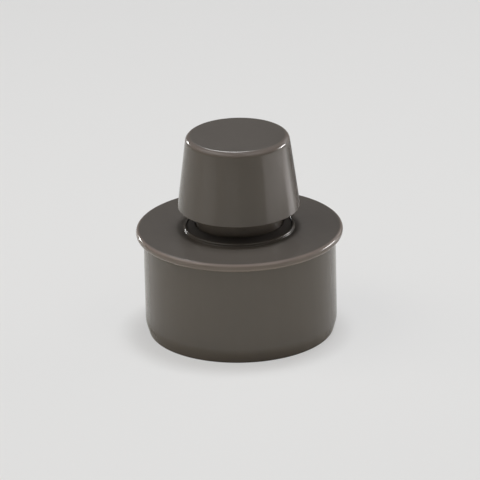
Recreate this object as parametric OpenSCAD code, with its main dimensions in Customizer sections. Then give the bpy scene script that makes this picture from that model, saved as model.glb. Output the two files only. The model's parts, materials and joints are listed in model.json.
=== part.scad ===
// Air admittance valve in a sealed reducer for a wide drain pipe. Millimetres.
// Low pressure in the drain lifts the membrane off two ring-shaped seats, so air drawn in
// under the hood passes over the inner seat and down the neck.
// Origin: centre of the spigot's lower end. +Z runs up the axis.

/* [Spigot] */
// Outside diameter of the spigot that enters the drain pipe
spigot_d = 110; // [100:1:125]
// Length of the spigot below the flange
spigot_len = 58; // [52:1:75]
// Wall of the spigot
spigot_wall = 3.6; // [3:0.1:4.5]
// Length of the lead-in taper at the spigot's lower end
lead_in_len = 7; // [4:0.5:8]
// Slope of the lead-in taper, in degrees
lead_in_angle = 16.5; // [10:0.5:17]
// Round at the spigot's lower edge
end_round = 0.6; // [0.2:0.1:0.8]

/* [Flange] */
// How far the flange stands out past the spigot
flange_lip = 4.2; // [2:0.1:8]
// Thickness of the flange
flange_t = 4.5; // [4:0.1:6]
// Round on the flange's rim, top and bottom
rim_round = 1.7; // [0.5:0.1:1.9]
// Number of stiffening webs under the flange
web_count = 8; // [4:1:12]
// Thickness of each stiffening web
web_t = 2.2; // [1.5:0.1:3]

/* [Socket] */
// Depth of the socket, from the collar's top to the stop that the neck rests on
socket_depth = 40; // [30:1:46]
// Wall of the socket below the seal
socket_wall = 2.6; // [2:0.1:3.5]
// Gap all round between the neck and the socket's guide bore
socket_gap = 0.3; // [0.2:0.05:0.6]
// Thickness of the stop at the socket's lower end
stop_t = 3; // [2:0.5:5]
// Height of the collar above the flange
collar_h = 1.6; // [1:0.1:4]
// Wall of the collar round the seal chamber
collar_wall = 2; // [1.6:0.1:3]
// Round on the collar's top edges
collar_round = 0.7; // [0.2:0.1:0.75]

/* [Lip seal] */
// Width of the seal chamber, from the neck to the collar
seal_w = 5.3; // [4:0.1:7]
// Depth of the seal chamber below the collar's top
seal_depth = 12; // [9:0.5:16]
// Height of the seal's upper lip above the collar
seal_rise = 1.6; // [0.5:0.1:3]
// Height of each lip's face on the neck
lip_face = 1.6; // [1:0.1:2]
// How far the lips reach in from the seal's ring to the neck
lip_reach = 2.4; // [1.5:0.1:3]
// Bevel on the upper lip's tip
lip_tip = 0.6; // [0.2:0.1:0.9]
// Gap between a rubber piece and the walls that hold it
seal_gap = 0.05; // [0.02:0.01:0.15]

/* [Neck] */
// Outside diameter of the neck
neck_d = 50; // [44:1:54]
// Wall of the neck
neck_wall = 2.2; // [1.8:0.1:3]
// Length of the lead-in taper at the neck's lower end
neck_lead_len = 4; // [2:0.5:6]
// How far that taper cuts into the neck's wall
neck_lead_in = 1; // [0.5:0.1:1.2]
// Height of the cone that narrows the neck to the throat
shoulder_h = 8; // [5:0.5:8]

/* [Hood] */
// Outside diameter at the hood's lower edge
hood_base_d = 70; // [66:1:80]
// Outside diameter of the hood at its top, before the edge is rounded
hood_top_d = 59; // [55:1:66]
// Height of the hood
hood_h = 43; // [41:1:55]
// Wall of the hood
hood_wall = 2; // [1.6:0.1:2.6]
// Round on the hood's top edge
hood_round = 3.3; // [2.8:0.1:5]
// Height of the open gap between the flange and the hood
inlet_gap = 13; // [9:0.5:25]

/* [Seats] */
// Height of the seats above the hood's lower edge
seat_rise = 18; // [16:0.5:20]
// Bore of the throat inside the inner seat
throat_d = 34; // [28:1:38]
// Wall of the throat
throat_wall = 1.8; // [1.4:0.1:2.5]
// Width of each seat's face
seat_face = 1; // [0.6:0.1:1.3]
// Height of each seat's lip
seat_lip = 1; // [0.6:0.1:2]
// Height of the ring that carries the outer seat
ring_h = 6.5; // [5:0.5:8]
// Width of the hood's ledge that the ring rests against
ledge_w = 1.5; // [1:0.1:2]
// Gap between the ring and the hood
ring_gap = 0.15; // [0.1:0.05:0.3]
// Number of ribs that join the ring to the throat
rib_count = 8; // [4:1:12]
// Thickness of each rib
rib_t = 1.6; // [1.2:0.1:2.5]
// Depth of the ribs' top edge below the seats
rib_drop = 2; // [1:0.5:4]
// Number of snap nibs that hold the ring in the hood
nib_count = 4; // [3:1:6]
// Arc covered by each snap nib, in degrees
nib_arc = 22; // [10:1:30]
// How far each snap nib stands in from the hood's wall
nib_w = 0.8; // [0.5:0.1:1.2]
// Height of each snap nib
nib_h = 2; // [1:0.5:4]

/* [Membrane and carrier] */
// Thickness of the membrane
membrane_t = 1.5; // [1:0.1:2.5]
// How far the membrane reaches past each seat
membrane_reach = 0.7; // [0.5:0.1:1]
// Gap between the membrane's edge and the hood
membrane_gap = 0.4; // [0.3:0.1:0.8]
// Thickness of the carrier's plate
plate_t = 1.8; // [1.2:0.1:2.4]
// Wall of the collar that goes through the membrane
clip_wall = 1.2; // [0.8:0.1:1.8]
// Width of the lip that holds the membrane on that collar
clip_lip = 0.7; // [0.4:0.1:0.8]
// Height of that lip
clip_h = 1.2; // [0.8:0.1:2]
// Number of spokes between the carrier's plate and its hub
spoke_count = 4; // [3:1:6]
// Width of each spoke
spoke_w = 2.4; // [1.6:0.1:4]
// Height of each spoke
spoke_h = 3; // [2:0.1:4]
// How far the membrane can lift
lift = 6; // [3:0.5:8]

/* [Guide] */
// Diameter of the hood's guide pin
pin_d = 7; // [5:0.5:9]
// Gap all round between the pin and the hub
pin_gap = 0.3; // [0.2:0.05:0.5]
// Wall of the hub
hub_wall = 1.7; // [1.4:0.1:2.5]
// Length of the hub
hub_len = 10; // [8:0.5:11]
// Gap left under the stop at full lift
stop_gap = 0.3; // [0.1:0.1:0.6]
// Bevel on the pin's lower end
pin_bevel = 0.8; // [0.3:0.1:1.5]

/* [Hidden] */
$fn = 128;
// Overlap that makes a cut or a joint between features clean
eps = 0.5;
// Straight steps in each rounded edge of a section
arc_steps = 10;

// Heights of the reducer, from the spigot's lower end
flange_top = spigot_len + flange_t;
collar_top = flange_top + collar_h;
chamber_floor = collar_top - seal_depth;
seal_top = collar_top + seal_rise;
neck_foot = collar_top - socket_depth;
socket_foot = neck_foot - stop_t;

// Radii of the reducer
spigot_r = spigot_d / 2;
spigot_bore_r = spigot_r - spigot_wall;
neck_r = neck_d / 2;
neck_bore_r = neck_r - neck_wall;
guide_r = neck_r + socket_gap;
socket_r = guide_r + socket_wall;
chamber_r = neck_r + seal_w;
collar_r = chamber_r + collar_wall;
// Height of the cone that joins the seal chamber to the socket, at 45 degrees
flare_h = collar_r - socket_r;

// Heights of the hood and the valve inside it
hood_foot = flange_top + inlet_gap;
seat_z = hood_foot + seat_rise;
ledge_z = seat_z - seat_lip;
ring_foot = ledge_z - ring_h;
nib_top = ring_foot - ring_gap;
throat_foot = hood_foot + shoulder_h;
membrane_top = seat_z + membrane_t;
plate_top = membrane_top + plate_t;
hub_top = membrane_top + hub_len;
pin_stop = hub_top + lift + stop_gap;

// Radius of the hood's inside at a height, from its taper and wall
hood_taper = atan((hood_base_d - hood_top_d) / 2 / hood_h);
function hood_inside(z) =
    hood_base_d / 2 - hood_wall / cos(hood_taper) - (z - hood_foot) * tan(hood_taper);

// Radii of the valve: the membrane also clears the narrowing hood at full lift
throat_r = throat_d / 2;
ledge_r = hood_inside(ledge_z) - ledge_w;
membrane_r = min(ledge_r, hood_inside(membrane_top + lift)) - membrane_gap;
seat_r = membrane_r - membrane_reach;
ring_bore_r = seat_r - seat_face;
plate_r = min(membrane_r - membrane_reach, hood_inside(plate_top + lift) - membrane_gap);
clip_r = throat_r - clip_lip - membrane_reach;
clip_bore_r = clip_r - clip_wall;
membrane_bore_r = clip_r + seal_gap;
pin_r = pin_d / 2;
hub_bore_r = pin_r + pin_gap;
hub_r = hub_bore_r + hub_wall;

// Points along an arc of a section, from one angle to another
function arc(x, z, r, from, to) = [
    for (i = [0:arc_steps])
        let (a = from + (to - from) * i / arc_steps)
            [x + r * cos(a), z + r * sin(a)]
];

// Half section of a cone on the axis with its upper edge rounded
module rounded_cone(base_r, top_r, h, edge_r) {
    taper = atan((base_r - top_r) / h);
    round_x = top_r - edge_r * (1 - sin(taper)) / cos(taper);
    polygon(concat(
        [[0, 0], [base_r, 0]],
        arc(round_x, h - edge_r, edge_r, taper, 90),
        [[0, h]]
    ));
}

// Section of an upright bar with both upper corners rounded
module rounded_bar(w, h, edge_r) {
    polygon(concat(
        [[0, 0], [w, 0]],
        arc(w - edge_r, h - edge_r, edge_r, 0, 90),
        arc(edge_r, h - edge_r, edge_r, 90, 180)
    ));
}

// Half section of a round plate on the axis with its rim rounded top and bottom
module rounded_plate(r, t, edge_r) {
    polygon(concat(
        [[0, 0]],
        arc(r - edge_r, edge_r, edge_r, -90, 0),
        arc(r - edge_r, t - edge_r, edge_r, 0, 90),
        [[0, t]]
    ));
}

// Copies of a flat upright plate round the axis, drawn in the plane of radius and height
module upright_plates(count, t) {
    for (i = [0:count - 1])
        rotate([0, 0, (i + 0.5) * 360 / count])
            rotate([90, 0, 0])
                translate([0, 0, -t / 2])
                    linear_extrude(t) children();
}

// Outside of the socket, solid to the axis
module socket_form() {
    polygon([
        [0, socket_foot],
        [socket_r, socket_foot],
        [socket_r, chamber_floor - socket_wall - flare_h],
        [collar_r, chamber_floor - socket_wall],
        [collar_r, flange_top],
        [0, flange_top]
    ]);
}

// Inside of the socket: stop, guide bore and seal chamber
module socket_bore() {
    polygon([
        [0, socket_foot - eps],
        [neck_bore_r, socket_foot - eps],
        [neck_bore_r, neck_foot],
        [guide_r, neck_foot],
        [guide_r, chamber_floor],
        [chamber_r, chamber_floor],
        [chamber_r, collar_top + eps],
        [0, collar_top + eps]
    ]);
}

// Outside of the spigot and flange, solid to the axis
module spigot_form() {
    lead_in = lead_in_len * tan(lead_in_angle);
    translate([0, lead_in_len]) mirror([0, 1])
        rounded_cone(spigot_r, spigot_r - lead_in, lead_in_len, end_round);
    translate([0, lead_in_len]) square([spigot_r, spigot_len - lead_in_len + rim_round]);
    translate([0, spigot_len]) rounded_plate(spigot_r + flange_lip, flange_t, rim_round);
}

// Flange, spigot, socket and stiffening webs, moulded as one piece
module reducer() {
    color([0.35, 0.33, 0.3]) {
        rotate_extrude() {
            difference() {
                union() {
                    difference() {
                        spigot_form();
                        translate([0, -eps]) square([spigot_bore_r, spigot_len + eps]);
                    }
                    socket_form();
                    translate([chamber_r, flange_top - eps])
                        rounded_bar(collar_wall, collar_h + eps, collar_round);
                }
                socket_bore();
            }
        }
        upright_plates(web_count, web_t)
            polygon([
                [collar_r - eps, spigot_len + eps],
                [collar_r - eps, chamber_floor],
                [spigot_bore_r + eps, (spigot_len + chamber_floor) / 2],
                [spigot_bore_r + eps, spigot_len + eps]
            ]);
    }
}

// Rubber ring in the seal chamber, with an upper wiper lip and a lower sealing lip
module lip_seal() {
    inner_r = neck_r + seal_gap;
    outer_r = chamber_r - seal_gap;
    ring_r = inner_r + lip_reach;
    low_lip = chamber_floor + lip_face;
    color([0.06, 0.06, 0.06])
        rotate_extrude()
            polygon([
                [ring_r, chamber_floor],
                [outer_r, chamber_floor],
                [outer_r, collar_top - collar_round],
                [inner_r + lip_tip, seal_top],
                [inner_r, seal_top - lip_tip],
                [inner_r, seal_top - lip_face],
                [ring_r, seal_top - lip_face - lip_reach],
                [ring_r, low_lip + lip_face + lip_reach],
                [inner_r, low_lip + lip_face],
                [inner_r, low_lip],
                [ring_r, low_lip + lip_reach / 2]
            ]);
}

// Outside of the neck and throat, solid to the axis
module neck_form() {
    polygon([
        [0, neck_foot],
        [neck_r - neck_lead_in, neck_foot],
        [neck_r, neck_foot + neck_lead_len],
        [neck_r, hood_foot],
        [throat_r + throat_wall, throat_foot],
        [throat_r + throat_wall, ledge_z],
        [throat_r + seat_face, seat_z],
        [0, seat_z]
    ]);
}

// Inside of the neck and throat
module neck_bore() {
    polygon([
        [0, neck_foot - eps],
        [neck_bore_r, neck_foot - eps],
        [neck_bore_r, hood_foot],
        [throat_r, throat_foot],
        [throat_r, seat_z + eps],
        [0, seat_z + eps]
    ]);
}

// Ring with the outer seat, which fits the hood's tapered inside
module seat_ring_section() {
    side_gap = ring_gap / cos(hood_taper);
    polygon([
        [ring_bore_r, ring_foot],
        [hood_inside(ring_foot) - side_gap, ring_foot],
        [hood_inside(ledge_z) - side_gap, ledge_z],
        [seat_r, ledge_z],
        [seat_r, seat_z],
        [ring_bore_r, seat_z]
    ]);
}

// Neck, throat with the inner seat, and the ribs that carry the outer seat's ring
module valve_body() {
    color([0.35, 0.33, 0.3]) {
        rotate_extrude() {
            difference() {
                neck_form();
                neck_bore();
            }
            seat_ring_section();
        }
        upright_plates(rib_count, rib_t)
            polygon([
                [throat_r + throat_wall / 2, throat_foot],
                [ring_bore_r + eps, ring_foot],
                [ring_bore_r + eps, seat_z - rib_drop],
                [throat_r + throat_wall / 2, seat_z - rib_drop]
            ]);
    }
}

// Soft flat ring that lies on both seats
module membrane() {
    color([0.1, 0.1, 0.1])
        rotate_extrude()
            translate([membrane_bore_r, seat_z])
                square([membrane_r - membrane_bore_r, membrane_t]);
}

// Stiff plate on the membrane, with the collar that clips it and the hub on the pin
module membrane_carrier() {
    color([0.85, 0.84, 0.8]) {
        rotate_extrude()
            polygon([
                [clip_bore_r, seat_z - clip_h],
                [clip_r + clip_lip, seat_z - clip_h],
                [clip_r + clip_lip, seat_z],
                [clip_r, seat_z],
                [clip_r, membrane_top],
                [plate_r, membrane_top],
                [plate_r, plate_top],
                [clip_bore_r, plate_top]
            ]);
        translate([0, 0, membrane_top])
            difference() {
                cylinder(r = hub_r, h = hub_len);
                translate([0, 0, -eps]) cylinder(r = hub_bore_r, h = hub_len + 2 * eps);
            }
        upright_plates(spoke_count, spoke_w)
            translate([hub_r - hub_wall / 2, membrane_top])
                square([clip_bore_r + clip_wall / 2 - hub_r + hub_wall / 2, spoke_h]);
    }
}

// Hollow of the hood, which steps in at the ledge
module hood_hollow() {
    inside_top = hood_foot + hood_h - hood_wall;
    intersection() {
        translate([0, hood_foot - eps])
            rounded_cone(
                hood_inside(hood_foot - eps),
                hood_inside(inside_top),
                inside_top - hood_foot + eps,
                hood_round - hood_wall
            );
        union() {
            translate([0, hood_foot - eps]) square([ledge_r, hood_h]);
            translate([0, hood_foot - eps]) square([hood_base_d, ledge_z - hood_foot + eps]);
        }
    }
}

// Tapered cap with the guide pin under its top and the nibs that snap under the ring
module hood() {
    color([0.35, 0.33, 0.3]) {
        rotate_extrude()
            difference() {
                translate([0, hood_foot])
                    rounded_cone(hood_base_d / 2, hood_top_d / 2, hood_h, hood_round);
                hood_hollow();
            }
        rotate_extrude()
            polygon([
                [0, membrane_top],
                [pin_r - pin_bevel, membrane_top],
                [pin_r, membrane_top + pin_bevel],
                [pin_r, pin_stop],
                [hub_r, pin_stop],
                [hub_r, hood_foot + hood_h - hood_wall / 2],
                [0, hood_foot + hood_h - hood_wall / 2]
            ]);
        for (i = [0:nib_count - 1])
            rotate([0, 0, i * 360 / nib_count - nib_arc / 2])
                rotate_extrude(angle = nib_arc)
                    polygon([
                        [hood_inside(nib_top) + eps, nib_top],
                        [hood_inside(nib_top) - nib_w, nib_top],
                        [hood_inside(nib_top - nib_h) + eps, nib_top - nib_h]
                    ]);
    }
}

reducer();
lip_seal();
valve_body();
membrane();
membrane_carrier();
hood();
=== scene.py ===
import json
import math

import bmesh
import bpy
from mathutils import Matrix, Vector


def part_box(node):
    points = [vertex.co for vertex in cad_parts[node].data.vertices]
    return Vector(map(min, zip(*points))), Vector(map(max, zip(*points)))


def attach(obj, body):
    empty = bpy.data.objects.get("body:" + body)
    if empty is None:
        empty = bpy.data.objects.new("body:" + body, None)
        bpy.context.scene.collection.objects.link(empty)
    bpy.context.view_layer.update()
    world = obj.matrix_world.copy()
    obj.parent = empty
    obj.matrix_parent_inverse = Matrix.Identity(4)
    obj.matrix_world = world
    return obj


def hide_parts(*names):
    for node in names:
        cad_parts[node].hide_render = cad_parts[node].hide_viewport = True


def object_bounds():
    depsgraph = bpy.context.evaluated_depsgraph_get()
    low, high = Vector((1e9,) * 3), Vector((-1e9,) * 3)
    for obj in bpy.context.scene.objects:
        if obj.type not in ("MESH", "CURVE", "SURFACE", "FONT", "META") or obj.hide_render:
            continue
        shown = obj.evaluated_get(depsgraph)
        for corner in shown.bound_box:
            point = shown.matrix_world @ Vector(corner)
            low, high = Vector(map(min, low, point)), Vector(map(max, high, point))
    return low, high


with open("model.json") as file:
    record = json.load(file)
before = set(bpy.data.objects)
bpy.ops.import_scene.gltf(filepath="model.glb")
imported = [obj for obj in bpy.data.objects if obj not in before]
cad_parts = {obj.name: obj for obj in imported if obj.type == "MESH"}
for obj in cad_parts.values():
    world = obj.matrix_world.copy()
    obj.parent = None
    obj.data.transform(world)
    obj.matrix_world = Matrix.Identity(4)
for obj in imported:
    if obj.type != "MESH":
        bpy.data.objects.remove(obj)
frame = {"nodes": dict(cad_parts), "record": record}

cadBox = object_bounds()
scene = bpy.context.scene
mm = 0.001  # sections and sizes below are written in millimetres
print("frame loaded:", sorted(frame["nodes"]))


# Sizes that the frame gives

hair = 0.001  # keeps a rounding error from lifting a piece's top out of the CAD box


def nodeSpan(node):
    low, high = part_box(node)
    return {"radius": high.x / mm, "foot": low.z / mm, "top": high.z / mm - hair}


mounts = {mount["name"]: mount for mount in frame["record"]["mounts"]}
hoodSpan = nodeSpan("hood")
bodySpan = nodeSpan("valve_body")
sealSpan = nodeSpan("lip_seal")
reducerSpan = nodeSpan("reducer")
membraneSpan = nodeSpan("membrane")
carrierSpan = nodeSpan("membrane_carrier")
spigotRadius = mounts["spigot"]["dims"]["r_mm"]
flangeFoot = mounts["flange_seat"]["pos_m"][2] / mm


# Nodes, for finishes and for sweeps

def feed(tree, socket, value):
    # Another node's output is linked, and a plain value is set
    if isinstance(value, bpy.types.NodeSocket):
        tree.links.new(value, socket)
    else:
        socket.default_value = value


def addNode(tree, kind, settings=None, inputs=None):
    node = tree.nodes.new(kind)
    for key, value in (settings or {}).items():
        setattr(node, key, value)
    for key, value in (inputs or {}).items():
        feed(tree, node.inputs[key], value)
    return node


def mathNode(tree, operation, first, second):
    node = addNode(tree, "ShaderNodeMath", {"operation": operation}, {0: first, 1: second})
    return node.outputs[0]


def noiseNode(tree, vector, scale, detail, stretch=(1, 1, 1)):
    mapping = addNode(tree, "ShaderNodeMapping", inputs={"Vector": vector, "Scale": stretch})
    noise = addNode(
        tree,
        "ShaderNodeTexNoise",
        inputs={"Vector": mapping.outputs[0], "Scale": scale, "Detail": detail},
    )
    return noise.outputs["Fac"]


def mixColours(tree, mask, low, high):
    # Of the mix node's sockets, 6 and 7 going in and 2 coming out are the colours
    node = addNode(tree, "ShaderNodeMix", {"data_type": "RGBA"}, {0: mask, 6: low, 7: high})
    return node.outputs[2]


def emptyMaterial(name):
    material = bpy.data.materials.new(name)
    material.use_nodes = True
    material.node_tree.nodes.clear()
    return material


# Skin that the finishes share: cloudy colour, flow lines along the axis, orange peel, and a painted
# highlight on rounded edges

skinSockets = {
    "Vector": "NodeSocketVector",
    "Dark Colour": "NodeSocketColor",
    "Light Colour": "NodeSocketColor",
    "Roughness Low": "NodeSocketFloat",
    "Roughness High": "NodeSocketFloat",
    "Cloud Scale": "NodeSocketFloat",
    "Peel Scale": "NodeSocketFloat",
    "Grain Share": "NodeSocketFloat",  # of the grain in the height
    # painted highlight: how much a rounded edge is painted paler, standing in for its highlight
    "Painted Edge Highlight": "NodeSocketFloat",
    # the paler colour of that painted highlight
    "Painted Highlight Colour": "NodeSocketColor",
}
skinResults = {"Color": "NodeSocketColor", "Roughness": "NodeSocketFloat", "Height": "NodeSocketFloat"}
skinPattern = {
    "cloudDetail": 3.0,
    "cloudShare": 0.6,            # of the clouds in the tone
    "flowDetail": 2.0,
    "flowShare": 0.4,             # of the flow lines in the tone
    "flowStretch": (8, 8, 0.6),   # long along the axis
    "peelDetail": 1.0,
    "grainDetail": 2.0,
    "grainStretch": (6, 6, 6),    # this many times finer than the peel
    "highlightLeast": 0.7,             # share of the painted edge highlight that stays between the clouds
    "highlightSwing": 0.6,             # and what the clouds add to it
    "grainInGloss": 0.4,
    "glossFrom": 0.35,            # tone and grain where the roughness is low
    "glossTo": 1.0,               # and where it is high
}


def mouldedSkinGroup(pattern):
    tree = bpy.data.node_groups.new("mouldedSkin", "ShaderNodeTree")
    for label, kind in skinSockets.items():
        tree.interface.new_socket(label, in_out="INPUT", socket_type=kind)
    for label, kind in skinResults.items():
        tree.interface.new_socket(label, in_out="OUTPUT", socket_type=kind)
    given = tree.nodes.new("NodeGroupInput").outputs
    out = tree.nodes.new("NodeGroupOutput").inputs

    cloud = noiseNode(tree, given["Vector"], given["Cloud Scale"], pattern["cloudDetail"])
    flow = noiseNode(
        tree, given["Vector"], given["Cloud Scale"], pattern["flowDetail"], pattern["flowStretch"]
    )
    peel = noiseNode(tree, given["Vector"], given["Peel Scale"], pattern["peelDetail"])
    grain = noiseNode(
        tree, given["Vector"], given["Peel Scale"], pattern["grainDetail"], pattern["grainStretch"]
    )

    cloudPart = mathNode(tree, "MULTIPLY", cloud, pattern["cloudShare"])
    flowPart = mathNode(tree, "MULTIPLY", flow, pattern["flowShare"])
    tone = mathNode(tree, "ADD", cloudPart, flowPart)
    moulded = mixColours(tree, tone, given["Dark Colour"], given["Light Colour"])
    # Painted highlight: rounded edges are mixed towards a paler colour, more where the clouds are lighter
    highlightPatches = mathNode(tree, "MULTIPLY", cloud, pattern["highlightSwing"])
    highlightPatches = mathNode(tree, "ADD", highlightPatches, pattern["highlightLeast"])
    paintedHighlight = mathNode(tree, "MULTIPLY", given["Painted Edge Highlight"], highlightPatches)
    colour = mixColours(tree, paintedHighlight, moulded, given["Painted Highlight Colour"])

    grainPart = mathNode(tree, "MULTIPLY", grain, pattern["grainInGloss"])
    gloss = addNode(
        tree,
        "ShaderNodeMapRange",
        inputs={
            "Value": mathNode(tree, "ADD", grainPart, tone),
            "From Min": pattern["glossFrom"],
            "From Max": pattern["glossTo"],
            "To Min": given["Roughness Low"],
            "To Max": given["Roughness High"],
        },
    )
    grainHeight = mathNode(tree, "MULTIPLY", grain, given["Grain Share"])
    feed(tree, out["Color"], colour)
    feed(tree, out["Roughness"], gloss.outputs[0])
    feed(tree, out["Height"], mathNode(tree, "ADD", peel, grainHeight))
    return tree


mouldedSkin = mouldedSkinGroup(skinPattern)


# Finishes

def skinMaterial(name, look):
    # One Principled shader fed by the shared skin, with its own values
    material = emptyMaterial(name)
    tree = material.node_tree
    coords = addNode(tree, "ShaderNodeTexCoord")
    # mask of the painted highlight on rounded edges, carried by the mesh
    highlight = addNode(tree, "ShaderNodeAttribute", {"attribute_name": "paintedEdgeHighlight"})
    skin = addNode(tree, "ShaderNodeGroup", {"node_tree": mouldedSkin}, look["skin"])
    feed(tree, skin.inputs["Vector"], coords.outputs["Object"])
    feed(tree, skin.inputs["Painted Edge Highlight"], highlight.outputs["Fac"])
    bump = addNode(
        tree,
        "ShaderNodeBump",
        inputs={
            "Strength": look["bumpStrength"],
            "Distance": look["bumpDepth"] * mm,
            "Height": skin.outputs["Height"],
        },
    )
    shader = addNode(
        tree,
        "ShaderNodeBsdfPrincipled",
        inputs={
            "Base Color": skin.outputs["Color"],
            "Roughness": skin.outputs["Roughness"],
            "Normal": bump.outputs["Normal"],
            "IOR": look["ior"],
            "Specular IOR Level": look["specular"],
        },
    )
    addNode(tree, "ShaderNodeOutputMaterial", inputs={"Surface": shader.outputs[0]})
    return material


greyPlasticLook = {
    "skin": {
        "Dark Colour": (0.112, 0.096, 0.078, 1),
        "Light Colour": (0.128, 0.109, 0.088, 1),
        "Roughness Low": 0.15,
        "Roughness High": 0.22,
        "Cloud Scale": 28.0,
        "Peel Scale": 420.0,
        "Grain Share": 0.2,
        # paler colour painted on rounded edges in place of their highlights
        "Painted Highlight Colour": (0.25, 0.2, 0.163, 1),
    },
    "bumpStrength": 0.12,
    "bumpDepth": 0.05,
    "ior": 1.5,
    "specular": 0.48,
}
sealRubberLook = {
    "skin": {
        "Dark Colour": (0.062, 0.055, 0.048, 1),
        "Light Colour": (0.086, 0.076, 0.067, 1),
        "Roughness Low": 0.45,
        "Roughness High": 0.62,
        "Cloud Scale": 120.0,
        "Peel Scale": 1400.0,
        "Grain Share": 0.6,
    },
    "bumpStrength": 0.25,
    "bumpDepth": 0.05,
    "ior": 1.5,
    "specular": 0.06,
}
membraneRubberLook = {
    "skin": {
        "Dark Colour": (0.022, 0.022, 0.022, 1),
        "Light Colour": (0.042, 0.042, 0.04, 1),
        "Roughness Low": 0.55,
        "Roughness High": 0.75,
        "Cloud Scale": 160.0,
        "Peel Scale": 1800.0,
        "Grain Share": 0.8,
    },
    "bumpStrength": 0.3,
    "bumpDepth": 0.05,
    "ior": 1.5,
    "specular": 0.4,
}
carrierPlasticLook = {
    "skin": {
        "Dark Colour": (0.64, 0.63, 0.58, 1),
        "Light Colour": (0.72, 0.71, 0.66, 1),
        "Roughness Low": 0.3,
        "Roughness High": 0.42,
        "Cloud Scale": 90.0,
        "Peel Scale": 900.0,
        "Grain Share": 0.3,
    },
    "bumpStrength": 0.15,
    "bumpDepth": 0.04,
    "ior": 1.5,
    "specular": 0.5,
}
greyPlastic = skinMaterial("greyPlastic", greyPlasticLook)
sealRubber = skinMaterial("sealRubber", sealRubberLook)
membraneRubber = skinMaterial("membraneRubber", membraneRubberLook)
carrierPlastic = skinMaterial("carrierPlastic", carrierPlasticLook)
print("finishes made")


# Sections: corners of a half section as (radius, height, round), in millimetres, and where an edge gets
# a painted highlight, a fourth value from 0 to 1

sectionSettings = {
    "stepDegrees": 9.0,  # turn of one straight step round a rounded corner
    "leastTurn": 1e-4,   # radians; a corner that turns less stays one point
    "hold": 0.06,        # length of the short step that keeps the flats flat beside a round
    "highlightRise": 3.0,     # the painted highlight is full after one part in so many of a round
    "highlightBetween": 0.5,  # share of the painted highlight that is kept between two highlighted edges
}


def cornerHighlight(corner):
    return corner[3] if len(corner) > 3 else 0.0


def highlightRound(before, corner, after, steps):
    # Painted highlight at each step round a corner: it fades out at both ends, less so next to another
    # highlighted corner
    keptBefore = sectionSettings["highlightBetween"] if cornerHighlight(before) else 0
    keptAfter = sectionSettings["highlightBetween"] if cornerHighlight(after) else 0
    highlight = []
    for i in range(steps + 1):
        fadeIn = max(keptBefore, i * sectionSettings["highlightRise"] / steps)
        fadeOut = max(keptAfter, (steps - i) * sectionSettings["highlightRise"] / steps)
        highlight.append(cornerHighlight(corner) * min(1, fadeIn, fadeOut))
    return highlight


def roundedCorner(before, corner, after):
    # Points round one corner, each with its painted highlight
    point = Vector(corner[:2])
    back = (Vector(before[:2]) - point).normalized()
    ahead = (Vector(after[:2]) - point).normalized()
    turn = math.pi - back.angle(ahead)
    if corner[2] <= 0 or turn < sectionSettings["leastTurn"]:
        return [(point, 0.0)]
    reach = corner[2] * math.tan(turn / 2)
    centre = point + (back + ahead).normalized() * corner[2] / math.cos(turn / 2)
    start = point + back * reach - centre
    side = 1 if back.x * ahead.y - back.y * ahead.x < 0 else -1
    steps = max(2, math.ceil(math.degrees(turn) / sectionSettings["stepDegrees"]))
    arc = [centre + Matrix.Rotation(side * turn * i / steps, 2) @ start for i in range(steps + 1)]
    highlight = highlightRound(before, corner, after, steps)
    first = (arc[0] + back * sectionSettings["hold"], highlight[0])
    last = (arc[-1] + ahead * sectionSettings["hold"], highlight[-1])
    return [first, *zip(arc, highlight), last]


def sectionPoints(corners, closed):
    points = []
    count = len(corners)
    for index, corner in enumerate(corners):
        if not closed and index in (0, count - 1):
            points.append((Vector(corner[:2]), 0.0))
            continue
        points += roundedCorner(corners[index - 1], corner, corners[(index + 1) % count])
    return points


# Geometry Nodes: one section swept round the axis, along short arcs, or across flat plates

sweepSettings = {
    "pathRadius": 10.0,      # of the circle or arc that a section follows, which doesn't change the shape
    "mergeDistance": 0.002,
    "sharpDegrees": 40.0,    # an edge that turns more than this stays sharp
}
sweepSizes = {
    "turned": {"Segments": "NodeSocketInt"},
    "arcs": {
        "Segments": "NodeSocketInt",
        "Arc": "NodeSocketFloat",
        "Count": "NodeSocketInt",
        "Start Angle": "NodeSocketFloat",
    },
    "plates": {
        "Thickness": "NodeSocketFloat",
        "Count": "NodeSocketInt",
        "Start Angle": "NodeSocketFloat",
    },
}


def sweepPath(tree, kind, given, radius):
    if kind == "turned":
        inputs = {"Resolution": given["Segments"], "Radius": radius}
        return addNode(tree, "GeometryNodeCurvePrimitiveCircle", inputs=inputs).outputs[0]
    if kind == "arcs":
        inputs = {
            "Resolution": given["Segments"],
            "Radius": radius,
            "Start Angle": mathNode(tree, "MULTIPLY", given["Arc"], -0.5),
            "Sweep Angle": given["Arc"],
        }
        return addNode(tree, "GeometryNodeCurveArc", inputs=inputs).outputs[0]
    ends = {}
    for label, share in (("Start", -0.5), ("End", 0.5)):
        across = mathNode(tree, "MULTIPLY", given["Thickness"], share)
        ends[label] = addNode(tree, "ShaderNodeCombineXYZ", inputs={"Y": across}).outputs[0]
    return addNode(tree, "GeometryNodeCurvePrimitiveLine", inputs=ends).outputs[0]


def copiesRound(tree, shape, given):
    spots = addNode(tree, "GeometryNodePoints", inputs={"Count": given["Count"]})
    index = addNode(tree, "GeometryNodeInputIndex").outputs[0]
    step = mathNode(tree, "DIVIDE", 2 * math.pi, given["Count"])
    angle = mathNode(tree, "MULTIPLY", index, step)
    angle = mathNode(tree, "ADD", angle, given["Start Angle"])
    turn = addNode(tree, "ShaderNodeCombineXYZ", inputs={"Z": angle})
    inputs = {"Points": spots.outputs[0], "Instance": shape, "Rotation": turn.outputs[0]}
    return addNode(tree, "GeometryNodeInstanceOnPoints", inputs=inputs).outputs[0]


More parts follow.
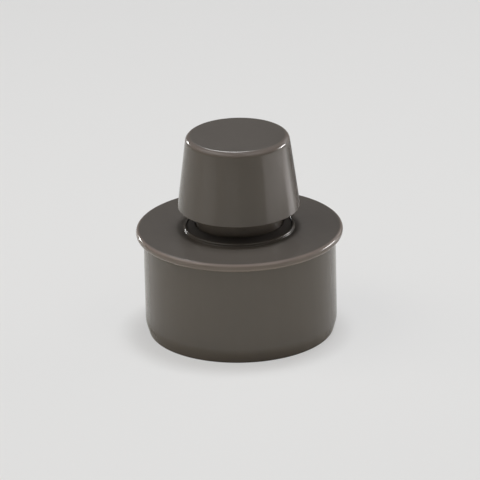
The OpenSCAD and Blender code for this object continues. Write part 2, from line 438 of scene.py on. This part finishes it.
def sweepTree(kind):
    tree = bpy.data.node_groups.new(kind + "Sweep", "GeometryNodeTree")
    sockets = {"Geometry": "NodeSocketGeometry", **sweepSizes[kind], "Material": "NodeSocketMaterial"}
    for label, socketType in sockets.items():
        tree.interface.new_socket(label, in_out="INPUT", socket_type=socketType)
    tree.interface.new_socket("Geometry", in_out="OUTPUT", socket_type="NodeSocketGeometry")
    given = tree.nodes.new("NodeGroupInput").outputs
    out = tree.nodes.new("NodeGroupOutput").inputs

    pathRadius = 0.0 if kind == "plates" else sweepSettings["pathRadius"] * mm
    curve = addNode(tree, "GeometryNodeMeshToCurve", inputs={"Mesh": given["Geometry"]})
    section = addNode(  # the sweep takes a section's height downwards, so it is turned over first
        tree,
        "GeometryNodeTransform",
        inputs={
            "Geometry": curve.outputs[0],
            "Translation": (-pathRadius, 0, 0),
            "Rotation": (math.pi, 0, 0),
        },
    )
    swept = addNode(
        tree,
        "GeometryNodeCurveToMesh",
        inputs={
            "Curve": sweepPath(tree, kind, given, pathRadius),
            "Profile Curve": section.outputs[0],
            "Fill Caps": kind != "turned",
        },
    )
    shape = swept.outputs[0]
    if kind != "turned":
        shape = copiesRound(tree, shape, given)
    real = addNode(tree, "GeometryNodeRealizeInstances", inputs={"Geometry": shape})
    merged = addNode(
        tree,
        "GeometryNodeMergeByDistance",
        inputs={"Geometry": real.outputs[0], "Distance": sweepSettings["mergeDistance"] * mm},
    )
    finished = addNode(
        tree,
        "GeometryNodeSetMaterial",
        inputs={"Geometry": merged.outputs[0], "Material": given["Material"]},
    )
    feed(tree, out[0], finished.outputs[0])
    return tree


sweepTrees = {kind: sweepTree(kind) for kind in sweepSizes}


def plainMesh(obj):
    graph = bpy.context.evaluated_depsgraph_get()
    return bpy.data.meshes.new_from_object(obj.evaluated_get(graph), depsgraph=graph)


def smoothFaces(mesh):
    # Faces point outwards and are smooth, and hard turns stay sharp
    work = bmesh.new()
    work.from_mesh(mesh)
    bmesh.ops.recalc_face_normals(work, faces=work.faces)
    for face in work.faces:
        face.smooth = True
    work.to_mesh(mesh)
    work.free()
    mesh.set_sharp_from_angle(angle=math.radians(sweepSettings["sharpDegrees"]))


def sweep(kind, sections, material, sizes, closed=True):
    # Draws the sections as edges, lets the tree sweep them, and returns a plain mesh object
    points, edges, highlight = [], [], []
    for corners in sections:
        first = len(points)
        loop = sectionPoints(corners, closed)
        points += [(x * mm, y * mm, 0) for (x, y), paintedEdgeHighlight in loop]
        highlight += [paintedEdgeHighlight for point, paintedEdgeHighlight in loop]
        edges += [(first + i, first + i + 1) for i in range(len(loop) - 1)]
        if closed:
            edges.append((first + len(loop) - 1, first))
    mesh = bpy.data.meshes.new("section")
    mesh.from_pydata(points, edges, [])
    # each point carries its painted edge highlight
    mesh.attributes.new("paintedEdgeHighlight", "FLOAT", "POINT").data.foreach_set("value", highlight)
    obj = bpy.data.objects.new("sweep", mesh)
    scene.collection.objects.link(obj)
    modifier = obj.modifiers.new("sweep", "NODES")
    modifier.node_group = sweepTrees[kind]
    values = {**sizes, "Material": material}
    for item in sweepTrees[kind].interface.items_tree:
        if item.in_out == "INPUT" and item.name in values:
            modifier[item.identifier] = values[item.name]
    result = plainMesh(obj)
    obj.modifiers.remove(modifier)
    obj.data = result
    smoothFaces(result)
    return obj


def turned(sections, material, segments, closed=True):
    return sweep("turned", sections, material, {"Segments": segments}, closed)


def arcs(section, material, segments, degrees, count=1, startDegrees=0.0):
    sizes = {
        "Segments": segments,
        "Arc": math.radians(degrees),
        "Count": count,
        "Start Angle": math.radians(startDegrees),
    }
    return sweep("arcs", [section], material, sizes)


def plates(section, material, thickness, count):
    # The first plate stands half a step round from the right-hand side
    sizes = {"Thickness": thickness * mm, "Count": count, "Start Angle": math.pi / count}
    return sweep("plates", [section], material, sizes)


def fuse(base, extra):
    # Joins the repeated features to the piece that carries them
    modifier = base.modifiers.new("union", "BOOLEAN")
    modifier.operation = "UNION"
    modifier.solver = "EXACT"
    modifier.object = extra
    result = plainMesh(base)
    base.modifiers.remove(modifier)
    base.data = result
    bpy.data.objects.remove(extra)
    smoothFaces(result)
    return base


def place(piece, name, node, body):
    piece.name = name
    piece.data.name = name
    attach(piece, body)
    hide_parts(node)
    print(name, "made:", len(piece.data.polygons), "faces")


# Reducer: flange, collar, socket and spigot in one turned section, with webs under the flange

reducer = {
    "segments": 192,
    "spigotWall": 3.6,
    "leadInLength": 7.0,
    "leadInDegrees": 16.5,
    "leadInBlend": 12.0,    # round where the lead-in runs into the straight wall
    "endRound": 0.6,
    "flangeThickness": 4.5,
    "rimRound": 1.9,
    # painted highlight on the rim's upper and lower rounds
    "rimTopHighlight": 1.0,
    "rimFootHighlight": 0.75,
    "rootRound": 0.4,       # where the spigot and the ridge meet the flange
    "ridgeWall": 1.4,       # of the collar above the flange
    "ridgeRound": 0.85,
    "ridgeInnerRound": 0.3,
    "collarWall": 2.0,      # of the collar below the flange
    "chamberRadius": 30.3,  # holds the lip seal
    "chamberDepth": 12.0,
    "guideRadius": 25.3,    # holds the neck
    "stopRadius": 22.8,     # the neck rests on this step
    "stopThickness": 3.0,
    "socketWall": 2.6,
    "socketDepth": 40.0,
    "flareRound": 1.0,
    "insideRound": 0.3,
    "webCount": 8,
    "webThickness": 2.2,
    "webSink": 0.5,         # how far the webs reach into the walls
}


def makeReducer(size):
    rim = reducerSpan["radius"]
    collarTop = reducerSpan["top"]
    flangeTop = flangeFoot + size["flangeThickness"]
    bore = spigotRadius - size["spigotWall"]
    endRadius = spigotRadius - size["leadInLength"] * math.tan(math.radians(size["leadInDegrees"]))
    ridgeRadius = size["chamberRadius"] + size["ridgeWall"]
    collarRadius = size["chamberRadius"] + size["collarWall"]
    socketRadius = size["guideRadius"] + size["socketWall"]
    chamberFloor = collarTop - size["chamberDepth"]
    neckFoot = collarTop - size["socketDepth"]
    socketFoot = neckFoot - size["stopThickness"]
    flareTop = chamberFloor - size["socketWall"]
    flareFoot = flareTop - (collarRadius - socketRadius)
    small = size["insideRound"]
    outline = [
        (bore, 0, small),
        (endRadius, 0, size["endRound"]),
        (spigotRadius, size["leadInLength"], size["leadInBlend"]),
        (spigotRadius, flangeFoot, size["rootRound"]),
        # the rim's rounds carry a painted highlight
        (rim, flangeFoot, size["rimRound"], size["rimFootHighlight"]),
        (rim, flangeTop, size["rimRound"], size["rimTopHighlight"]),
        (ridgeRadius, flangeTop, size["rootRound"]),
        (ridgeRadius, collarTop, size["ridgeRound"]),
        (size["chamberRadius"], collarTop, size["ridgeInnerRound"]),
        (size["chamberRadius"], chamberFloor, small),
        (size["guideRadius"], chamberFloor, small),
        (size["guideRadius"], neckFoot, small),
        (size["stopRadius"], neckFoot, small),
        (size["stopRadius"], socketFoot, small),
        (socketRadius, socketFoot, small),
        (socketRadius, flareFoot, size["flareRound"]),
        (collarRadius, flareTop, size["flareRound"]),
        (collarRadius, flangeFoot, small),
        (bore, flangeFoot, small),
    ]
    webIn = collarRadius - size["webSink"]
    webOut = bore + size["webSink"]
    webTop = flangeFoot + size["webSink"]
    web = [
        (webIn, webTop, 0),
        (webIn, chamberFloor, 0),
        (webOut, (flangeFoot + chamberFloor) / 2, 0),
        (webOut, webTop, 0),
    ]
    shell = turned([outline], greyPlastic, size["segments"])
    return fuse(shell, plates(web, greyPlastic, size["webThickness"], size["webCount"]))


place(makeReducer(reducer), "reducerShell", "reducer", "fitting")


# Hood: tapered cap with its guide pin, stepped inside, with nibs that snap under the valve body

hood = {
    "segments": 192,
    "topRadius": 29.5,
    "wall": 2.0,
    "topRound": 3.3,
    # painted highlight on the top round
    "topHighlight": 0.5,
    "innerRound": 1.3,
    "edgeRound": 0.35,
    "ledgeHeight": 17.0,    # from the hood's foot, as pinStopHeight, pinFoot and nibTop are
    "ledgeWidth": 1.5,
    "ledgeBlend": 1.0,
    "pinRadius": 3.5,
    "pinBevel": 0.8,
    "pinStopRadius": 5.5,
    "pinStopHeight": 35.8,
    "pinFoot": 19.5,
    "nibCount": 4,
    "nibDegrees": 22.0,
    "nibSegments": 12,
    "nibTop": 10.35,
    "nibWidth": 0.8,
    "nibHeight": 2.0,
    "nibRound": 0.1,
    "nibSink": 0.5,         # how far the nibs reach into the wall
}


def hoodInside(size, height):
    slope = (hoodSpan["radius"] - size["topRadius"]) / (hoodSpan["top"] - hoodSpan["foot"])
    return hoodSpan["radius"] - size["wall"] * math.hypot(1, slope) - slope * height


def makeHood(size):
    foot, top = hoodSpan["foot"], hoodSpan["top"]
    ledge = hoodInside(size, size["ledgeHeight"]) - size["ledgeWidth"]
    slope = hoodInside(size, 0) - hoodInside(size, 1)
    ledgeEnd = (hoodInside(size, 0) - ledge) / slope
    insideTop = top - foot - size["wall"]
    small = size["edgeRound"] / 2
    outline = [
        (0, top, 0),
        # the top round carries a painted highlight
        (size["topRadius"], top, size["topRound"], size["topHighlight"]),
        (hoodSpan["radius"], foot, size["edgeRound"]),
        (hoodInside(size, 0), foot, size["edgeRound"]),
        (hoodInside(size, size["ledgeHeight"]), foot + size["ledgeHeight"], small),
        (ledge, foot + size["ledgeHeight"], small),
        (ledge, foot + ledgeEnd, size["ledgeBlend"]),
        (hoodInside(size, insideTop), foot + insideTop, size["innerRound"]),
        (size["pinStopRadius"], foot + insideTop, small),
        (size["pinStopRadius"], foot + size["pinStopHeight"], small),
        (size["pinRadius"], foot + size["pinStopHeight"], small),
        (size["pinRadius"], foot + size["pinFoot"] + size["pinBevel"], small),
        (size["pinRadius"] - size["pinBevel"], foot + size["pinFoot"], small),
        (0, foot + size["pinFoot"], 0),
    ]
    nibFoot = size["nibTop"] - size["nibHeight"]
    nib = [
        (hoodInside(size, size["nibTop"]) + size["nibSink"], foot + size["nibTop"], 0),
        (hoodInside(size, size["nibTop"]) - size["nibWidth"], foot + size["nibTop"], size["nibRound"]),
        (hoodInside(size, nibFoot) + size["nibSink"], foot + nibFoot, 0),
    ]
    shell = turned([outline], greyPlastic, size["segments"], closed=False)
    return fuse(shell, arcs(nib, greyPlastic, size["nibSegments"], size["nibDegrees"], size["nibCount"]))


place(makeHood(hood), "hoodCap", "hood", "fitting")


# Valve body: neck, throat with the inner seat, ribs, and the ring with the outer seat

valveBody = {
    "segments": 160,
    "neckRadius": 25.0,
    "neckWall": 2.2,
    "neckRound": 2.0,
    "leadInLength": 4.0,
    "leadInDepth": 1.0,
    "shoulderHeight": 8.0,
    "throatRadius": 17.0,
    "throatWall": 1.8,
    "throatRound": 1.0,
    "seatFace": 1.0,
    "seatLip": 1.0,
    "ringHeight": 6.5,
    "ringGap": 0.15,      # between the ring and the hood
    "ringBore": 27.21,
    "edgeRound": 0.2,
    "ribCount": 8,
    "ribThickness": 1.6,
    "ribDrop": 2.0,       # below the seats
    "ribSink": 0.5,       # how far the ribs reach into the ring
}


def makeValveBody(size):
    foot, seat = bodySpan["foot"], bodySpan["top"]
    hoodFoot = hoodSpan["foot"]
    neckBore = size["neckRadius"] - size["neckWall"]
    throatFoot = hoodFoot + size["shoulderHeight"]
    throatOut = size["throatRadius"] + size["throatWall"]
    ledge = seat - size["seatLip"]
    ringFoot = ledge - size["ringHeight"]
    ringSeat = size["ringBore"] + size["seatFace"]
    small = size["edgeRound"]
    neck = [
        (neckBore, foot, small),
        (size["neckRadius"] - size["leadInDepth"], foot, small),
        (size["neckRadius"], foot + size["leadInLength"], size["neckRound"]),
        (size["neckRadius"], hoodFoot, size["neckRound"]),
        (throatOut, throatFoot, size["throatRound"]),
        (throatOut, ledge, small),
        (size["throatRadius"] + size["seatFace"], seat, small),
        (size["throatRadius"], seat, small),
        (size["throatRadius"], throatFoot, size["throatRound"]),
        (neckBore, hoodFoot, size["neckRound"]),
    ]
    ring = [
        (size["ringBore"], ringFoot, small),
        (hoodInside(hood, ringFoot - hoodFoot) - size["ringGap"], ringFoot, small),
        (hoodInside(hood, ledge - hoodFoot) - size["ringGap"], ledge, small),
        (ringSeat, ledge, small),
        (ringSeat, seat, small),
        (size["ringBore"], seat, small),
    ]
    ribIn = size["throatRadius"] + size["throatWall"] / 2
    ribOut = size["ringBore"] + size["ribSink"]
    ribTop = seat - size["ribDrop"]
    rib = [
        (ribIn, throatFoot, 0),
        (ribOut, ringFoot, 0),
        (ribOut, ribTop, 0),
        (ribIn, ribTop, 0),
    ]
    shell = turned([neck, ring], greyPlastic, size["segments"])
    return fuse(shell, plates(rib, greyPlastic, size["ribThickness"], size["ribCount"]))


place(makeValveBody(valveBody), "valveNeck", "valve_body", "fitting")


# Lip seal: rubber ring in the collar, with an upper wiper lip and a lower sealing lip

lipSeal = {
    "segments": 160,
    "innerRadius": 25.05,
    "lipReach": 2.4,
    "lipFace": 1.6,
    "lipTip": 0.6,
    "lipRootRound": 0.5,
    "shoulderDrop": 2.3,
    "shoulderRound": 0.6,
    "edgeRound": 0.25,
}


def makeLipSeal(size):
    foot, top, outer = sealSpan["foot"], sealSpan["top"], sealSpan["radius"]
    inner = size["innerRadius"]
    ring = inner + size["lipReach"]
    lowLip = foot + size["lipFace"]
    small = size["edgeRound"]
    outline = [
        (ring, foot, small),
        (outer, foot, small),
        (outer, top - size["shoulderDrop"], size["shoulderRound"]),
        (inner + size["lipTip"], top, small),
        (inner, top - size["lipTip"], small),
        (inner, top - size["lipFace"], small),
        (ring, top - size["lipFace"] - size["lipReach"], size["lipRootRound"]),
        (ring, lowLip + size["lipFace"] + size["lipReach"], size["lipRootRound"]),
        (inner, lowLip + size["lipFace"], small),
        (inner, lowLip, small),
        (ring, lowLip + size["lipReach"] / 2, small),
    ]
    return turned([outline], sealRubber, size["segments"])


place(makeLipSeal(lipSeal), "lipSealRing", "lip_seal", "fitting")


# Membrane and its carrier, which lift together

membrane = {"segments": 128, "boreRadius": 15.65, "edgeRound": 0.35}


def makeMembrane(size):
    foot, top, outer = membraneSpan["foot"], membraneSpan["top"], membraneSpan["radius"]
    outline = [
        (size["boreRadius"], foot, size["edgeRound"]),
        (outer, foot, size["edgeRound"]),
        (outer, top, size["edgeRound"]),
        (size["boreRadius"], top, size["edgeRound"]),
    ]
    return turned([outline], membraneRubber, size["segments"])


place(makeMembrane(membrane), "membraneRing", "membrane", "moving_valve")

carrier = {
    "segments": 128,
    "plateThickness": 1.8,
    "clipRadius": 15.6,
    "clipWall": 1.2,
    "clipLip": 0.7,
    "clipHeight": 1.2,
    "hubRadius": 5.5,
    "hubBore": 3.8,
    "spokeCount": 4,
    "spokeWidth": 2.4,
    "spokeHeight": 3.0,
    "edgeRound": 0.2,
}


def makeCarrier(size):
    seat, plateFoot = membraneSpan["foot"], membraneSpan["top"]
    plateTop = plateFoot + size["plateThickness"]
    clipFoot = seat - size["clipHeight"]
    bore = size["clipRadius"] - size["clipWall"]
    lip = size["clipRadius"] + size["clipLip"]
    small = size["edgeRound"]
    plate = [
        (bore, clipFoot, small),
        (lip, clipFoot, small),
        (lip, seat, small),
        (size["clipRadius"], seat, small),
        (size["clipRadius"], plateFoot, small),
        (carrierSpan["radius"], plateFoot, small),
        (carrierSpan["radius"], plateTop, small),
        (bore, plateTop, small),
    ]
    hub = [
        (size["hubBore"], plateFoot, small),
        (size["hubRadius"], plateFoot, small),
        (size["hubRadius"], carrierSpan["top"], small),
        (size["hubBore"], carrierSpan["top"], small),
    ]
    spokeStart = (size["hubBore"] + size["hubRadius"]) / 2
    spokeEnd = bore + size["clipWall"] / 2
    spokeTop = plateFoot + size["spokeHeight"]
    spoke = [
        (spokeStart, plateFoot, 0),
        (spokeEnd, plateFoot, 0),
        (spokeEnd, spokeTop, 0),
        (spokeStart, spokeTop, 0),
    ]
    shell = turned([plate, hub], carrierPlastic, size["segments"])
    return fuse(shell, plates(spoke, carrierPlastic, size["spokeWidth"], size["spokeCount"]))


place(makeCarrier(carrier), "membraneCarrier", "membrane_carrier", "moving_valve")


# Floor and backdrop

floorLook = {
    "segments": 96,
    "radius": 5000.0,
    "sweepRound": 600.0,    # where the paper turns up into the backdrop
    "backdropHeight": 1000.0,
    "drop": 0.1,            # below the object's foot
    "colour": (0.98, 0.93, 0.82, 1),
    "evenTone": (0.727, 0.728, 0.732, 1),
    "evenShare": 0.65,      # how much of that even tone the camera sees
    "reflectedShare": 0.1,  # and how much reflections see
}


def palePaper(look):
    # Diffuse paper; the camera and reflections see it mixed with an even tone, so its shadows are faint
    material = emptyMaterial("palePaper")
    tree = material.node_tree
    paper = addNode(tree, "ShaderNodeBsdfDiffuse", inputs={"Color": look["colour"]})
    even = addNode(tree, "ShaderNodeEmission", inputs={"Color": look["evenTone"]})
    ray = addNode(tree, "ShaderNodeLightPath").outputs
    seen = mathNode(tree, "MULTIPLY", ray["Is Camera Ray"], look["evenShare"])
    mirrored = mathNode(tree, "MAXIMUM", ray["Is Glossy Ray"], ray["Is Transmission Ray"])
    mirrored = mathNode(tree, "MULTIPLY", mirrored, look["reflectedShare"])
    share = mathNode(tree, "MAXIMUM", seen, mirrored)
    mixed = addNode(
        tree,
        "ShaderNodeMixShader",
        inputs={0: share, 1: paper.outputs[0], 2: even.outputs[0]},
    )
    addNode(tree, "ShaderNodeOutputMaterial", inputs={"Surface": mixed.outputs[0]})
    return material


def makeFloor(look):
    level = cadBox[0].z / mm - look["drop"]
    outline = [
        (0, level, 0),
        (look["radius"], level, look["sweepRound"]),
        (look["radius"], level + look["backdropHeight"], 0),
    ]
    floor = turned([outline], palePaper(look), look["segments"], closed=False)
    floor.name = "floor"


makeFloor(floorLook)


# Grey card that only reflections see, which keeps the hood's right edge from going pale

flagCard = {
    "radius": 200.0,
    "thickness": 1.0,
    "height": 62.0,
    "round": 60.0,   # degrees round from the right-hand side
    "spread": 44.0,  # degrees that it covers
    "segments": 16,
    "colour": (0.42, 0.4, 0.4, 1),
    "roughness": 1.0,
}


def makeFlagCard(size):
    material = emptyMaterial("greyCard")
    shader = addNode(
        material.node_tree,
        "ShaderNodeBsdfPrincipled",
        inputs={"Base Color": size["colour"], "Roughness": size["roughness"]},
    )
    addNode(material.node_tree, "ShaderNodeOutputMaterial", inputs={"Surface": shader.outputs[0]})
    outer = size["radius"] + size["thickness"]
    outline = [
        (size["radius"], 0, 0),
        (outer, 0, 0),
        (outer, size["height"], 0),
        (size["radius"], size["height"], 0),
    ]
    card = arcs(outline, material, size["segments"], size["spread"], startDegrees=size["round"])
    card.name = "flagCard"
    card.visible_camera = False
    card.visible_diffuse = False
    card.visible_shadow = False


makeFlagCard(flagCard)


# Each lamp: direction in degrees round from the right-hand side and up, distance and size in metres, the
# brightness of its face, its tint where it isn't white, and the angle of its beam where that is narrow

lamps = {
    "leftHigh": {"round": 180, "up": 52, "distance": 1.5, "width": 0.9, "height": 0.8, "glow": 1.0},
    "frontLeftHigh": {"round": 225, "up": 52, "distance": 1.5, "width": 0.9, "height": 0.8, "glow": 0.65},
    "frontRightHigh": {"round": 315, "up": 52, "distance": 1.5, "width": 0.9, "height": 0.8, "glow": 0.65},
    "backRightLow": {"round": 45, "up": 18, "distance": 1.5, "width": 0.9, "height": 0.6, "glow": 0.6},
}
# Soft light with no reflection of its own
fillLamps = {
    "overhead": {"round": 60, "up": 84, "distance": 1.5, "width": 0.42, "height": 0.42, "glow": 18.4,
                 "tint": (0.96, 1.03, 1.19)},
    "rightLow": {"round": 15, "up": 8, "distance": 1.5, "width": 0.9, "height": 0.4, "glow": 2.6,
                 "tint": (1.06, 0.99, 0.98)},
    "leftLow": {"round": 170, "up": 8, "distance": 1.5, "width": 0.9, "height": 0.4, "glow": 1.95,
                "tint": (1.04, 1.0, 0.96)},
    "cardFront": {"round": 255, "up": -11, "distance": 0.42, "width": 0.6, "height": 0.03, "glow": 0.42,
                  "spread": 40},
}
# Panels and cards that only show as reflections, so that they shape the gloss and add no light
reflectedLamps = {
    "backPanel": {"round": 94, "up": 43, "distance": 1.5, "width": 0.28, "height": 0.44, "glow": 6.4},
    "glintRight": {"round": 22, "up": 9, "distance": 1.2, "width": 0.42, "height": 0.14, "glow": 25.0},
    "glintLeft": {"round": 130, "up": 9, "distance": 1.2, "width": 0.12, "height": 0.12, "glow": 40.0},
    "cardRight": {"round": -14, "up": -6, "distance": 0.3, "width": 0.28, "height": 0.06, "glow": 0.8,
                  "tint": (1.0, 0.95, 0.96)},
    "streakCard": {"round": 22.5, "up": -13, "distance": 0.3, "width": 0.1, "height": 0.05, "glow": 1.3,
                   "tint": (1.03, 0.97, 0.98)},
    "cardLeft": {"round": 212, "up": -9, "distance": 0.3, "width": 0.16, "height": 0.07, "glow": 0.2},
}
lampAim = Vector((0, 0, 0.09))  # where every lamp points, in metres
facePower = 4  # watts for each square metre of a lamp's face, for a glow of 1


def makeLamp(name, light):
    across, up = math.radians(light["round"]), math.radians(light["up"])
    towards = Vector((math.cos(across) * math.cos(up), math.sin(across) * math.cos(up), math.sin(up)))
    data = bpy.data.lights.new(name, "AREA")
    data.shape = "RECTANGLE"
    data.size = light["width"]
    data.size_y = light["height"]
    data.energy = light["glow"] * light["width"] * light["height"] * facePower
    data.color = light.get("tint", (1, 1, 1))
    data.spread = math.radians(light.get("spread", 180))
    lamp = bpy.data.objects.new(name, data)
    lamp.location = lampAim + towards * light["distance"]
    lamp.rotation_euler = towards.to_track_quat("Z", "Y").to_euler()
    lamp.visible_camera = False
    scene.collection.objects.link(lamp)
    return lamp


for lampName, light in lamps.items():
    makeLamp(lampName, light)
for lampName, light in fillLamps.items():
    makeLamp(lampName, light).visible_glossy = False
for lampName, light in reflectedLamps.items():
    makeLamp(lampName, light).visible_diffuse = False

worldGlow = (0.045, 0.045, 0.045, 1)  # faint grey from all round
world = bpy.data.worlds.new("studio")
world.use_nodes = True
world.node_tree.nodes["Background"].inputs["Color"].default_value = worldGlow
scene.world = world
scene.view_settings.view_transform = "Standard"


# Camera

cameraView = {
    "elevation": 22.1,      # degrees above the horizon
    "roll": 1.29,           # degrees that the picture leans to the left
    "distance": 3280.0,     # from the centre of the flange's top
    "pixelsPerMm": 1.748,   # at that distance
    "picture": 480,         # pixels across
    "flangeCentre": (239.35, 226.05),  # where the centre of the flange's top lies in the picture
    "sensor": 36.0,         # millimetres across
    "farthest": 50.0,       # metres; nothing past this is seen
}


def makeCamera(view):
    data = bpy.data.cameras.new("camera")
    data.sensor_width = view["sensor"]
    data.lens = view["sensor"] * view["pixelsPerMm"] * view["distance"] / view["picture"]
    data.clip_end = view["farthest"]
    camera = bpy.data.objects.new("camera", data)
    scene.collection.objects.link(camera)
    tilt, roll = math.radians(view["elevation"]), math.radians(view["roll"])
    back = Vector((0, -math.cos(tilt), math.sin(tilt)))
    level = Vector((1, 0, 0))
    upright = back.cross(level)
    right = level * math.cos(roll) - upright * math.sin(roll)
    up = upright * math.cos(roll) + level * math.sin(roll)
    half = view["picture"] / 2
    acrossMm = (view["flangeCentre"][0] - half) / view["pixelsPerMm"]
    upMm = (half - view["flangeCentre"][1]) / view["pixelsPerMm"]
    flangeCentre = Vector((0, 0, (flangeFoot + reducer["flangeThickness"]) * mm))
    aim = flangeCentre - (right * acrossMm + up * upMm) * mm
    turn = Matrix((right, up, back)).transposed().to_4x4()
    camera.matrix_world = Matrix.Translation(aim + back * view["distance"] * mm) @ turn
    scene.camera = camera


makeCamera(cameraView)
print("floor, lamps and camera placed")
